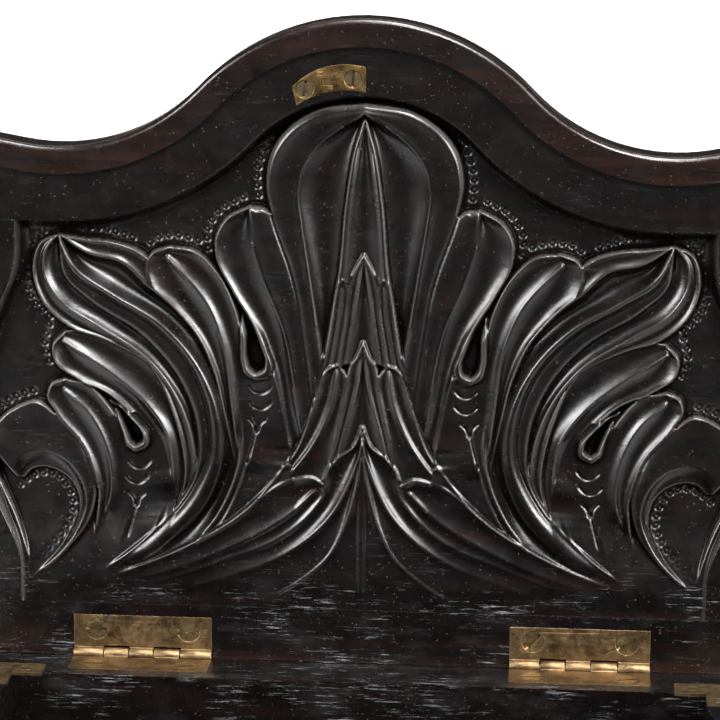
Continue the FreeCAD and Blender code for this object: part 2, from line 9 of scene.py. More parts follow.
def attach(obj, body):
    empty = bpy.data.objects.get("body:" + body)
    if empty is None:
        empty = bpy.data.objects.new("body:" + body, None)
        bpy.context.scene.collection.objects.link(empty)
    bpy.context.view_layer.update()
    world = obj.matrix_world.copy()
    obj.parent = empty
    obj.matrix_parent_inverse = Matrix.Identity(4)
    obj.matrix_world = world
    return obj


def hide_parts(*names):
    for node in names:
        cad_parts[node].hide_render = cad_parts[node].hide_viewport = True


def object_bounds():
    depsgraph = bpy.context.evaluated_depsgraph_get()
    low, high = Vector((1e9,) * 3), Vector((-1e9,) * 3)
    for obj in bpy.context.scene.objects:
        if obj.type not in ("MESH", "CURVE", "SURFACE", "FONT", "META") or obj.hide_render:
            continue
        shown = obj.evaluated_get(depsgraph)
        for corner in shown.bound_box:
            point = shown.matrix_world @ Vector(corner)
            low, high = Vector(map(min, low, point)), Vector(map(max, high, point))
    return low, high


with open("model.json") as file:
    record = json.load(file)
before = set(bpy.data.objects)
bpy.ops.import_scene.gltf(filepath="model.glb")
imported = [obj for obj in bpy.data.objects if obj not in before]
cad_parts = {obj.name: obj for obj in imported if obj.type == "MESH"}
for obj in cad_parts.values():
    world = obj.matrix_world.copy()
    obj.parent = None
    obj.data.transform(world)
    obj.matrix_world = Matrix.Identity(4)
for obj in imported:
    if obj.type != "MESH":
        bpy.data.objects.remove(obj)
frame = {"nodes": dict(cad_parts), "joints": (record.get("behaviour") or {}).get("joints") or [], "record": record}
nodes = frame["nodes"]
cad_low, cad_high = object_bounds()

MM = 0.001
OPEN_LEAN = math.radians(3)
hinge = next(joint for joint in frame["joints"] if joint["name"] == "lid_hinge")
HINGE = Vector(hinge["pos_m"])

# The lid's own measures in millimetres: u across from the middle, v up from the lower arris,
# depth inwards from the lid's inner face.
ARRIS = 2.6            # from the hinge axis to the lower arris
FACE_GAP = 0.15        # from the hinge axis to the inner face
GROUND_DEPTH = 7.0     # sunk ground of the carving
PANEL_BACK = 11.9
# outline of the sunk field: a round crest, hollow shoulders, notched corners and bulging sides
CREST_RADIUS = 54.3
CREST_CENTRE = 149.1
SHOULDER_RADIUS = 95.0
SHOULDER_CENTRE = (108.0, 252.2)
FIELD_TOP = 157.2
FIELD_LOW = 16.5
FIELD_HALF = 123.6
NOTCH_RADIUS = 33.9
NOTCH_HIGH = 147.0
NOTCH_LOW = 29.0
BULGE_RADIUS = 97.4
BULGE_CENTRE = 40.2

# Grids the carving is worked on: the mesh's own cells, and cells half that size over the left half.
CELL = 0.35
FINE = CELL / 2
U_LOW = -138.95
V_LOW = 16.1
U_COUNT = int(round(-U_LOW / FINE))
V_COUNT = 1076

# How the carving is worked, in millimetres.
RING_RADIUS = 0.95
RING_LINE = 0.3
RING_DEPTH = 0.85
RING_REACH = 2.2
RING_PITCH = 3.1
CUT_WIDTH = 0.6
CUT_DEPTH = 1.0
ARRIS_WIDTH = 1.1
ARRIS_RISE = 0.5
LIP_HEIGHT = 5.6
HOLE_FLOOR = 0.2
SWELL = 4.4            # of the ground under the leaves' roots
FOOT_HEIGHT = 5.7      # of the ground where it meets the hinge rail
TALLEST = 6.6
COVE_HEIGHT = 6.7
COVE_WIDTH = 4.6
OVERLAP = 0.4          # how far the carving reaches under the frame


def lid_point(u, v, depth):
    """World position in metres of a point given in the lid's measures; works on arrays too."""
    up = v + ARRIS
    back = depth + FACE_GAP
    y = HINGE.y + MM * (up * math.sin(OPEN_LEAN) + back * math.cos(OPEN_LEAN))
    z = HINGE.z + MM * (up * math.cos(OPEN_LEAN) - back * math.sin(OPEN_LEAN))
    return u * MM, y, z


# ---------------------------------------------------------------- camera
def add_camera():
    """A long lens a little right of centre, looking down at the open lid."""
    data = bpy.data.cameras.new("camera")
    data.lens = 139.5
    data.sensor_width = 36
    data.clip_start = 0.01
    data.clip_end = 50
    camera = bpy.data.objects.new("camera", data)
    bpy.context.scene.collection.objects.link(camera)
    lid_foot = Vector(lid_point(0, 0, 0))
    camera.location = lid_foot + Vector((0.0657, -0.9393, 0.3804))
    heading = math.radians(4.03)
    pitch = math.radians(15.98)
    roll = math.radians(-0.25)
    turn = Matrix.Rotation(heading, 4, "Z") @ Matrix.Rotation(math.pi / 2 - pitch, 4, "X")
    camera.rotation_mode = "QUATERNION"
    camera.rotation_quaternion = (turn @ Matrix.Rotation(-roll, 4, "Z")).to_quaternion()
    bpy.context.scene.camera = camera


# ---------------------------------------------------------------- carving: lines and leaves
def smooth_line(points, count):
    """Evenly spaced points on a smooth curve through the given ones."""
    knots = np.array(points, float)
    reach = np.concatenate([[0], np.cumsum(np.hypot(*np.diff(knots, axis=0).T))])
    if len(knots) == 2:
        share = np.linspace(0, 1, count)[:, None]
        return knots[0] * (1 - share) + knots[1] * share
    slope = np.gradient(knots, reach, axis=0)
    where = np.linspace(0, reach[-1], count)
    left = np.clip(np.searchsorted(reach, where, "right") - 1, 0, len(knots) - 2)
    span = (reach[left + 1] - reach[left])[:, None]
    s = (where - reach[left])[:, None] / span
    first = (1 + 2 * s) * (1 - s) ** 2 * knots[left] + s * (1 - s) ** 2 * span * slope[left]
    second = s * s * (3 - 2 * s) * knots[left + 1] - s * s * (1 - s) * span * slope[left + 1]
    return first + second


def smoothstep(x):
    """0 to 1 with level ends."""
    x = np.clip(x, 0, 1)
    return x * x * (3 - 2 * x)


def cell_of(u, v):
    """Row and column in the fine field of the left half."""
    column = np.clip(((u - U_LOW) / FINE).astype(int), 0, U_COUNT - 1)
    row = np.clip(((v - V_LOW) / FINE).astype(int), 0, V_COUNT - 1)
    return row, column


def cells_between(start, end, share):
    """Cells of the sheet stretched between two lines, at each share of the way across it."""
    place = start[:, None, :] * (1 - share[..., None]) + end[:, None, :] * share[..., None]
    return cell_of(place[..., 0], place[..., 1])


def lay_leaf(field, ribs, sags, tip_drop, root):
    """Lay a leaf over the field. ribs are (points from root to tip, height) from one edge to the other;
    sags bow the surface between neighbouring ribs, down where negative; the tip loses the share
    tip_drop of its height; the leaf grows out of what lies below it over the root share of its length."""
    along = np.linspace(0, 1, 1100)[:, None]
    share = np.linspace(0, 1, 150)[None, :]
    taper = 1 - tip_drop * smoothstep((along - 0.8) / 0.2)
    grown = smoothstep(along / root)
    lines = [smooth_line(points, len(along)) for points, _ in ribs]
    for number, sag in enumerate(sags):
        height = ribs[number][1] * (1 - share) + ribs[number + 1][1] * share
        height = (height + 4 * sag * share * (1 - share)) * taper
        row, column = cells_between(lines[number], lines[number + 1], share)
        below = field[row, column]
        field[row, column] = below + (height - below) * grown


def bridge(field, left_points, right_points):
    """Run one smooth surface between two lines, level with what is already there along each of them,
    and fading in from its lower end."""
    along = np.linspace(0, 1, 900)[:, None]
    share = np.linspace(0, 1, 160)[None, :]
    reach = 40
    window = np.ones(2 * reach + 1) / (2 * reach + 1)
    lines = [smooth_line(points, len(along)) for points in (left_points, right_points)]
    levels = []
    for line in lines:
        row, column = cell_of(line[:, 0], line[:, 1])
        level = np.pad(field[row, column], reach, mode="edge")
        levels.append(np.convolve(level, window, mode="valid")[:, None])
    row, column = cells_between(*lines, share)
    surface = levels[0] + (levels[1] - levels[0]) * smoothstep(share)
    field[row, column] += (surface - field[row, column]) * smoothstep(along / 0.35)


def ridge(points, width, height, stations, strips):
    """A field that is empty but for a ridge along a line, falling straight to nothing on both sides."""
    line = smooth_line(points, stations)
    along = np.gradient(line, axis=0)
    normal = np.stack([-along[:, 1], along[:, 0]], -1)
    normal /= np.linalg.norm(normal, axis=1)[:, None] + 1e-9
    relief = np.zeros((V_COUNT, U_COUNT))
    for offset in np.linspace(-width / 2, width / 2, strips):
        place = line + normal * offset
        row, column = cell_of(place[:, 0], place[:, 1])
        level = height * (1 - abs(offset) / (width / 2 + 0.01))
        relief[row, column] = np.maximum(relief[row, column], level)
    return relief


def ring_punch(field, u, v):
    """A small ring struck into the ground."""
    size = int(RING_REACH / FINE)
    row, column = (int(a) for a in cell_of(np.array(u), np.array(v)))
    rows = slice(max(row - size, 0), row + size + 1)
    columns = slice(max(column - size, 0), column + size + 1)
    away = np.hypot(*np.meshgrid(
        U_LOW + FINE * (np.arange(U_COUNT)[columns] + 0.5) - u,
        V_LOW + FINE * (np.arange(V_COUNT)[rows] + 0.5) - v,
    ))
    field[rows, columns] -= RING_DEPTH * np.exp(-((away - RING_RADIUS) / RING_LINE) ** 2)


def punch_row(field, points):
    """Ring punches in a row along a line."""
    reach = sum(math.dist(a, b) for a, b in zip(points, points[1:]))
    for u, v in smooth_line(points, max(2, int(reach / RING_PITCH) + 1)):
        ring_punch(field, u, v)


TIP_LEFT = (-108.5, 151.6)

# Each leaf of the left half, from the bottom of the pile to the top: ribs, sags and tip drop.
LEAVES = {
    "side_strip": (
        [(((-127, 18), (-128, 30), (-131, 45), (-137, 62), (-139, 80)), 2.4),
         (((-119.5, 25), (-121.5, 36), (-125, 47), (-129, 56), (-134, 68)), 3.0)],
        (0.2,), 0.0),
    "scroll": (
        [(((-119.5, 25), (-107, 35.7), (-98.7, 47), (-96, 60.7), (-100.3, 73), (-109.9, 85.7),
           (-117, 90.5), (-127, 87), (-137, 76)), 3.6),
         (((-119.5, 25), (-104, 42.5), (-99.9, 55), (-102.4, 63.5), (-109, 70.5), (-117, 72.6),
           (-122, 70.9), (-125, 66), (-125, 62)), 4.6),
         (((-119.5, 25), (-107, 39), (-102.4, 50.7), (-105.3, 60.7), (-114.5, 65.7), (-119.5, 64.8),
           (-122.8, 61.5)), 2.6)],
        (0.5, -0.9), 0.0),
    "small_leaf": (
        [(((-97, 40), (-96, 62), (-102, 76.5), (-110, 86), (-113.6, 92.5), (-112, 97), (-107, 99)), 4.6),
         (((-94, 46), (-90.4, 60), (-92.4, 75), (-98.7, 87), (-107.5, 94.5)), 4.3),
         (((-88, 36), (-82, 58), (-85, 77), (-91.2, 89.4), (-98.7, 97), (-107, 99)), 3.6)],
        (-1.9, -1.3), 0.0),
    "low_leaf": (
        [(((-80, 34), (-71, 58), (-77.8, 79), (-91, 93.4), (-103, 99.2), (-110.5, 105), (-111.4, 111),
           (-106.5, 116.6)), 4.9),
         (((-72, 40), (-68.3, 66.5), (-70.3, 80), (-77, 90), (-88, 100), (-100.3, 108.4),
           (-107.5, 112.5)), 4.5),
         (((-64, 44), (-62, 70), (-65, 88), (-74, 103), (-90, 114), (-99, 117), (-106.5, 116.6)), 3.0)],
        (-2.2, -1.6), 0.0),
    "outer_leaf": (
        [(((-72, 38), (-64, 66), (-68, 87), (-77, 105.2), (-92, 113.4), (-106, 118.5), (-115, 127.5),
           (-118, 139), (-115, 148.5), TIP_LEFT), 4.9),
         (((-66, 40), (-60, 62), (-65, 90), (-77, 106.8), (-95, 119), (-108, 127.5), (-113.8, 138),
           (-113, 146), TIP_LEFT), 4.7),
         (((-60, 42), (-57, 62), (-62, 92), (-74, 111), (-92, 124.5), (-104, 133), (-108.8, 143),
           TIP_LEFT), 2.6)],
        (-1.6, -1.3), 0.15),
    "long_leaf": (
        [(((-96, 27), (-80, 38.5), (-65, 54), (-59.3, 70), (-60, 85), (-66.5, 101), (-79, 115.5),
           (-98, 128), (-106.3, 136), TIP_LEFT), 3.8),
         (((-95, 27.5), (-79, 40.5), (-64, 57), (-57, 73), (-57.4, 87), (-63.5, 102.5), (-76, 117),
           (-95, 129), (-105.3, 137.5), TIP_LEFT), 4.8),
         (((-94, 28), (-77, 41), (-62, 58), (-55.3, 73.5), (-55.6, 88), (-61.5, 104.5), (-74, 118.7),
           (-92, 130), (-104.3, 138.5), TIP_LEFT), 4.2),
         (((-86, 29), (-72, 38), (-57.5, 52.5), (-50.2, 72), (-51.8, 92), (-59, 107.5), (-71, 121),
           (-89, 132), (-102, 141), TIP_LEFT), 5.3),
         (((-66, 33), (-51, 52), (-44, 72), (-45.5, 95), (-54, 115), (-64, 125), (-76, 133.5),
           (-86, 142.5), (-97, 145), TIP_LEFT), 5.6),
         (((-60, 34), (-47, 53), (-41, 72), (-42, 96), (-50, 118), (-60, 132), (-72, 140), (-79, 146),
           (-90, 149.6), (-99, 150.3), TIP_LEFT), 5.0)],
        (0.5, 0.2, 1.7, -3.6, -1.1), 0.1),
    "middle_leaf": (
        [(((-45, 62), (-49.6, 88), (-52.8, 101.5), (-59, 115.5), (-68, 126.5), (-75.5, 134.5),
           (-77, 140), (-75.5, 145.5), (-69, 148)), 5.6),
         (((-44, 64), (-46.9, 92), (-50, 114), (-56, 128.5), (-63, 137), (-70, 143.8)), 4.9),
         (((-36, 64), (-38.6, 98), (-42.5, 113), (-45.6, 127), (-52, 139.5), (-60, 146.7),
           (-69, 148)), 4.4)],
        (-2.3, -1.7), 0.0),
    "inner_leaf": (
        [(((-20, 58), (-28, 80), (-33, 106), (-38.5, 119), (-47, 133), (-52.4, 144.5), (-52.6, 151.5),
           (-48.5, 158.8), (-40.5, 163)), 5.7),
         (((-18, 62), (-24, 92), (-28.7, 120), (-35.5, 137), (-39.6, 150), (-40.5, 160)), 4.9),
         (((-14, 62), (-18, 100), (-23.5, 136), (-27.5, 150), (-30.4, 157.5), (-34.5, 162),
           (-40.5, 163)), 4.8)],
        (-2.2, 0.9), 0.0),
    "plume_rim": (
        [(((-19, 110), (-26, 140), (-32.6, 160), (-34.6, 172), (-32.4, 183), (-26, 191.6), (-17, 197.2),
           (-0.1, 200)), 4.2),
         (((-18, 110), (-24.4, 140), (-31, 160), (-32.8, 172), (-30.6, 181.5), (-24.6, 189.6),
           (-16, 195), (-0.1, 197.8)), 5.7)],
        (0.3,), 0.0),
    "plume": (
        [(((-14, 60), (-20, 110), (-25, 140), (-31.2, 160), (-32.8, 172), (-30.6, 181.5),
           (-24.6, 189.6), (-16, 195), (-0.1, 197.6)), 5.6),
         (((-9, 60), (-16, 121), (-19.2, 140), (-21.9, 157), (-23.1, 168.4), (-21.4, 177.5), (-16, 185.2),
           (-7.5, 191.8), (-0.2, 195.6)), 5.3),
         (((-6, 60), (-10, 125), (-8.6, 140), (-6.4, 165), (-3.1, 185), (-0.2, 194.6)), 3.2)],
        (0.7, -2.3), 0.0),
    "spear": (
        [(((-19, 84), (-13, 115), (-10.4, 131), (-8.8, 140), (-6.5, 165), (-3.2, 185),
           (-0.1, 195.2)), 5.7),
         (((-14, 90), (-9, 115), (-6.4, 138.6), (-5.2, 157.6), (-3, 176.5), (-0.1, 194.8)), 5.9),
         (((0, 110), (0, 194.4)), 3.8)],
        (-0.9, -0.5), 0.25),
    "upper_blade": (
        [(((-9, 104), (-7.7, 114), (-6, 124), (-5.4, 133), (-3.2, 141), (-0.1, 146.5)), 5.9),
         (((-6, 106), (-3.6, 122), (-1.6, 134), (-0.1, 145)), 5.7),
         (((0, 106), (0, 144)), 4.0)],
        (-1.0, -0.6), 0.0),
    "bud": (
        [(((-17, 96), (-12.6, 113), (-11, 126), (-10, 133), (-8.9, 136.4), (-7.2, 137.6)), 5.9),
         (((-13, 96), (-10.2, 112), (-8.2, 124), (-7.4, 135)), 5.5),
         (((-9.5, 100), (-7.7, 114), (-6, 124), (-5.2, 132), (-5.7, 136), (-7.2, 137.6)), 5.6)],
        (-0.9, -0.9), 0.0),
    "long_sheath": (
        [(((-92, 27), (-68, 36), (-47.7, 48), (-31, 64.5), (-23.7, 75.4), (-19.8, 84.7), (-16.7, 94),
           (-14.8, 101), (-12.2, 105.4), (-9, 106.6)), 6.0),
         (((-80, 30), (-57, 41), (-40, 53), (-25.7, 66.8), (-16.4, 79.5), (-11.4, 91.4), (-9.4, 101),
           (-9, 105.6)), 5.9),
         (((-60, 35), (-38, 46), (-22, 57), (-13, 66), (-10.9, 72), (-9, 81), (-6.6, 92.7), (-5.5, 99.3),
           (-6.1, 104), (-9, 106.6)), 5.6)],
        (-1.4, -1.1), 0.0),
    "middle_blade": (
        [(((-18, 58), (-13, 66), (-10.9, 72), (-9, 81), (-6.6, 92.7), (-5.5, 99.3), (-5.2, 105.4),
           (-2.4, 109.6), (-0.1, 115.2)), 6.0),
         (((-13, 62), (-9.7, 70.4), (-6.5, 82.3), (-3.9, 91), (-1.3, 101), (-0.1, 113.4)), 5.8),
         (((0, 66), (0, 112)), 4.2)],
        (-1.1, -0.8), 0.0),
    "foot_sheath": (
        [(((-62, 29), (-48, 35), (-35, 39.6), (-24.5, 46.2), (-16.8, 54.4), (-13.4, 61), (-12.4, 67.5),
           (-9, 72.4), (-3, 77.4), (-0.1, 84.2)), 6.0),
         (((-64, 22.5), (-47.9, 28), (-29.7, 35.4), (-19.4, 42.6), (-10.4, 52.4), (-5.2, 61.8),
           (-1.4, 72), (-0.1, 82)), 6.3),
         (((-30, 21.6), (-22, 26.9), (-11.7, 36.4), (-6, 48), (-2.5, 61.3), (-0.1, 78)), 6.0),
         (((0, 22), (0, 76)), 4.9)],
        (-2.0, -1.2, -0.7), 0.0),
    "spoon": (
        [(((-92, 26), (-80, 31), (-66, 37.4), (-47.7, 48), (-39.9, 54), (-31, 61.2), (-24.4, 64.4),
           (-17.6, 65.2), (-13.6, 62.6)), 6.1),
         (((-84, 25), (-66, 30.6), (-47.8, 38.4), (-32.2, 46.8), (-23.2, 53.6), (-17.6, 60)), 5.9),
         (((-76, 23.6), (-60, 29.4), (-47.8, 34.6), (-35, 39.6), (-24.5, 46.2), (-16.8, 54.4),
           (-13.2, 59.4), (-13.6, 62.6)), 5.6)],
        (-1.5, -1.1), 0.0),
}

# Share of its length over which a leaf's root rises, and the leaves whose roots rise sooner.
ROOT = 0.3
SHORT_ROOTS = {
    "long_leaf": 0.1, "long_sheath": 0.14, "foot_sheath": 0.1, "spoon": 0.14, "scroll": 0.1,
    "small_leaf": 0.2, "low_leaf": 0.2, "upper_blade": 0.04, "bud": 0.04, "middle_blade": 0.04,
}

# Left and right edges of the smooth ground below each teardrop hole.
BRIDGES = (
    (((-41, 46), (-41.6, 70), (-43, 88), (-44, 102), (-45, 110)),
     ((-23, 46), (-25.5, 70), (-28.6, 88), (-31.6, 102), (-34, 108))),
    (((-90, 36), (-86, 56), (-87.4, 74), (-92.4, 85)),
     ((-71, 36), (-67.4, 56), (-72.6, 76), (-81, 87))),
)

# Teardrop holes between leaves: left and right edges of the raised lip, then of the hole inside it.
DROPS = (
    (((-43.6, 127), (-43.6, 116), (-43.4, 107), (-42, 102.6), (-38.4, 100.4)),
     ((-36.6, 120), (-33.8, 111), (-32.2, 105.5), (-34, 101.5), (-38.4, 100.4)),
     ((-42.8, 125), (-41.4, 116), (-41.2, 108), (-40.2, 104.6), (-38.2, 103)),
     ((-38.4, 117.6), (-36.3, 111.6), (-35, 107.4), (-35.6, 104.4), (-38.2, 103))),
    (((-93, 93), (-88, 86), (-85.8, 79), (-84.9, 75.5), (-81.6, 72.8)),
     ((-89, 90.6), (-80.6, 84), (-77, 79.4), (-77.2, 75.2), (-81.6, 72.8)),
     ((-92, 91.6), (-86.8, 85), (-84, 79), (-83.2, 77), (-81.4, 75.6)),
     ((-89.6, 90.4), (-82.4, 84), (-79.3, 79.6), (-79.2, 77), (-81.4, 75.6))),
)

# Thin raised lines along the leaves' edges and middles.
ARRISES = (
    ((-0.1, 146.5), (-3.2, 141), (-6, 136.6)),
    ((-0.1, 115.2), (-2.4, 109.6), (-6, 105.4)),
    ((-0.1, 84.2), (-3, 77.4), (-9, 72.4), (-12.4, 67.5), (-13.4, 61.5)),
    ((-0.9, 23), (-0.8, 60), (-0.1, 80)),
    ((-30, 21.6), (-22, 26.9), (-11.7, 36.4), (-6, 48), (-2.5, 61.3), (-0.1, 78)),
    ((-60, 40), (-47.7, 48), (-31, 64.5), (-23.7, 75.4), (-19.8, 84.7), (-16.7, 94), (-14.8, 101),
     (-12.2, 105.4), (-9, 106.6)),
    ((-60, 41), (-47.7, 48), (-39.9, 54), (-31, 61.2), (-24.4, 64.4), (-17.6, 65.2), (-13.6, 62.6)),
    ((-0.1, 194.4), (-3.1, 185), (-6.4, 165), (-8.6, 140)),
    ((-16.5, 121), (-19.2, 140), (-21.9, 157), (-23.1, 168.4), (-21.4, 177.5), (-16, 185.2),
     (-7.5, 191.8)),
    ((-24, 98), (-28.7, 120), (-35.5, 137), (-39.6, 150)),
)


def crescent(u, v):
    """A small upturned crescent cut."""
    return (u - 4, v + 2.4), (u - 2.2, v + 0.6), (u, v), (u + 2.2, v + 0.9), (u + 4, v + 3)


def forked_tail(u, v):
    """Three cuts from a fork: a short arm to each side and a long tail down."""
    tail = (u - 3.4, v - 15), (u - 1.6, v - 8), (u, v - 1.4)
    left_arm = (u - 3, v + 1.4), (u - 1.4, v - 0.2), (u - 0.2, v - 3.6)
    right_arm = (u + 3.2, v + 1.2), (u + 1.4, v - 0.4), (u + 0.2, v - 3.6)
    return tail, left_arm, right_arm


# Small cuts below each teardrop hole.
CUTS = (
    crescent(-36.6, 95.4), crescent(-36.6, 89.6), *forked_tail(-38, 84.6),
    crescent(-80.4, 66.4), crescent(-81.4, 60.8), *forked_tail(-81.6, 56),
)

# Lines of ring punches on the ground round the leaves.
PUNCHES = (
    ((-37.4, 163), (-37.8, 176), (-33.2, 187), (-24, 194.5)),
    ((-55.5, 147), (-55.8, 153), (-51, 161), (-43, 165.6)),
    ((-79, 146.5), (-73, 150.6), (-66, 151.4), (-59, 149.6)),
    ((-104, 153.8), (-92, 153.2), (-82.4, 150.2)),
    ((-114.5, 152), (-119.6, 147), (-121, 138), (-118.4, 127), (-112.6, 121)),
    ((-112.8, 118), (-114.6, 111), (-113, 104.6)),
    ((-133, 86), (-126, 91), (-119, 93.4)),
    ((-124.4, 58.5), (-119.5, 62.2), (-111.5, 62.6), (-106.8, 57.4), (-105, 51), (-107.4, 43.5),
     (-112.4, 37.5), (-117.6, 31)),
)


def field_top(u):
    """Height of the sunk field's upper edge over a place across the lid."""
    crest = CREST_CENTRE + np.sqrt(np.maximum(CREST_RADIUS ** 2 - u ** 2, 0))
    dip_u, dip_v = SHOULDER_CENTRE
    shoulder = dip_v - np.sqrt(np.maximum(SHOULDER_RADIUS ** 2 - (np.abs(u) - dip_u) ** 2, 0))
    meet = CREST_RADIUS * dip_u / (CREST_RADIUS + SHOULDER_RADIUS)
    top = np.where(np.abs(u) < meet, crest, shoulder)
    return np.where(np.abs(u) > dip_u, FIELD_TOP, top)


def field_side(v):
    """Half width of the sunk field at a height up the lid."""
    middle = (NOTCH_HIGH + NOTCH_LOW) / 2
    away = np.abs(v - middle)
    half = (NOTCH_HIGH - NOTCH_LOW) / 2
    bulge = BULGE_CENTRE + np.sqrt(np.maximum(BULGE_RADIUS ** 2 - away ** 2, 0))
    notch = FIELD_HALF + NOTCH_RADIUS - np.sqrt(np.maximum(NOTCH_RADIUS ** 2 - (away - half) ** 2, 0))
    turn = half * BULGE_RADIUS / (BULGE_RADIUS + NOTCH_RADIUS)
    side = np.where(away < turn, bulge, notch)
    return np.where(away > half, FIELD_HALF, side)


def rim_distance(across, up):
    """How far a place lies inside the sunk field's top and side edges."""
    return np.minimum(field_top(across) - up, field_side(up) - np.abs(across))


def carved_field():
    """Height above the sunk ground over the left half, on the fine grid."""
    u = U_LOW + FINE * (np.arange(U_COUNT) + 0.5)
    v = V_LOW + FINE * (np.arange(V_COUNT) + 0.5)
    across, up = np.meshgrid(u, v)
    # the ground under the leaves' roots swells towards the foot
    field = SWELL * smoothstep((100 - up) / 52) * smoothstep((100 + across) / 34)
    for name, (ribs, sags, tip_drop) in LEAVES.items():
        lay_leaf(field, ribs, sags, tip_drop, SHORT_ROOTS.get(name, ROOT))
    for left_points, right_points in BRIDGES:
        bridge(field, left_points, right_points)
    for lip_left, lip_right, hole_left, hole_right in DROPS:
        lay_leaf(field, [(lip_left, LIP_HEIGHT), (lip_right, LIP_HEIGHT)], (0.5,), 0, 0.35)
        lay_leaf(field, [(hole_left, HOLE_FLOOR), (hole_right, HOLE_FLOOR)], (-0.8,), 0, 0.25)
    for points in CUTS:
        field -= ridge(points, CUT_WIDTH, CUT_DEPTH, 400, 15)
    for points in PUNCHES:
        punch_row(field, points)
    # the ground climbs to the hinge rail's level at the foot, and in a cove along the other edges
    foot = FOOT_HEIGHT * smoothstep((58 - up) / 34)
    field = foot + (1 - foot / TALLEST) * field
    for points in ARRISES:
        field += ridge(points, ARRIS_WIDTH, ARRIS_RISE, 700, 11)
    edge = rim_distance(across, up)
    cove = COVE_HEIGHT * np.clip(1 - edge / COVE_WIDTH, 0, 1) ** 1.8
    return np.where(edge < COVE_WIDTH, np.maximum(field, cove), field)


def soften(field, passes=1):
    """A light blur that rounds the field's steps."""
    for _ in range(passes):
        padded = np.pad(field, 1, mode="edge")
        field = (padded[:-2, 1:-1] + padded[2:, 1:-1] + 2 * padded[1:-1, 1:-1]) / 4
        padded = np.pad(field, 1, mode="edge")
        field = (padded[1:-1, :-2] + padded[1:-1, 2:] + 2 * padded[1:-1, 1:-1]) / 4
    return field


def wear_highlight_and_hollow_shade(field, to_edge):
    """Where the ridges are rubbed and lightened as a painted highlight, and where the hollows get painted shade,
    both from 0 to 1.
    """
    # the ridges lighten: rubbed wear, and a painted highlight along them
    wear_and_highlight = np.clip((field - soften(field, 3)) * 5 - 0.35, 0, 1)
    # the field's edge, where it meets the band, gets a thin light line: a rubbed edge and a painted highlight
    wear_and_highlight = np.maximum(wear_and_highlight, 0.6 * np.clip(1.6 - to_edge, 0, 1))
    # painted shade: the hollows are marked so their reflection is cut, standing in for shadow in them
    hollow_shade = np.clip((soften(field, 14) - field) * 1.6, 0, 1)
    return {"wear_and_highlight": wear_and_highlight, "hollow_shade": hollow_shade}


def border_loop(quads):
    """The corners round the outside of a sheet of quads, in order."""
    sides = np.concatenate([quads[:, [0, 1]], quads[:, [1, 2]], quads[:, [2, 3]], quads[:, [3, 0]]])
    twin = {(b, a) for a, b in map(tuple, sides)}
    border = [(a, b) for a, b in map(tuple, sides) if (a, b) not in twin]
    after = dict(border)
    loop = [border[0][0]]
    while after[loop[-1]] != loop[0]:
        loop.append(after[loop[-1]])
    return loop


def carving_mesh():
    """The carved panel: a closed mesh whose face is the carved field on both sides of the middle."""
    half = soften(carved_field(), 2)
    half = (half[0::2, 0::2] + half[1::2, 0::2] + half[0::2, 1::2] + half[1::2, 1::2]) / 4
    field = soften(np.concatenate([half, half[:, ::-1]], axis=1))
    rows, columns = field.shape
    u = (np.arange(columns) - (columns - 1) / 2) * CELL
    v = V_LOW + CELL * (np.arange(rows) + 0.5)
    across, up = np.meshgrid(u, v)
    to_edge = rim_distance(across, up)
    inside = (to_edge > -OVERLAP) & (up > FIELD_LOW - OVERLAP)
    full = inside[:-1, :-1] & inside[1:, :-1] & inside[:-1, 1:] & inside[1:, 1:]
    corner = np.arange(rows * columns).reshape(rows, columns)
    quads = np.stack([corner[:-1, :-1][full], corner[:-1, 1:][full],
                      corner[1:, 1:][full], corner[1:, :-1][full]], -1)
    used = np.unique(quads)
    number = np.full(rows * columns, -1)
    number[used] = np.arange(len(used))
    quads = number[quads]
    face = lid_point(across.ravel()[used], up.ravel()[used], GROUND_DEPTH - field.ravel()[used])
    # the border's walls and the flat back
    loop = border_loop(quads)
    source = used[np.array(loop)]
    back = lid_point(across.ravel()[source], up.ravel()[source], np.full(len(loop), PANEL_BACK))
    verts = np.concatenate([np.stack(face, -1), np.stack(back, -1)])
    count = len(used)
    faces = quads.tolist()
    for place, top in enumerate(loop):
        following = (place + 1) % len(loop)
        faces.append([loop[following], top, count + place, count + following])
    faces.append([count + place for place in range(len(loop))])
    mesh = bpy.data.meshes.new("carving")
    mesh.from_pydata(verts.tolist(), [], faces)
    for name, values in wear_highlight_and_hollow_shade(field, to_edge).items():
        layer = mesh.attributes.new(name, "FLOAT", "POINT")
        padded = np.zeros(len(verts), np.float32)
        padded[:count] = values.ravel()[used]
        layer.data.foreach_set("value", padded)
    mesh.polygons.foreach_set("use_smooth", np.ones(len(mesh.polygons), bool))
    mesh.update()
    return mesh


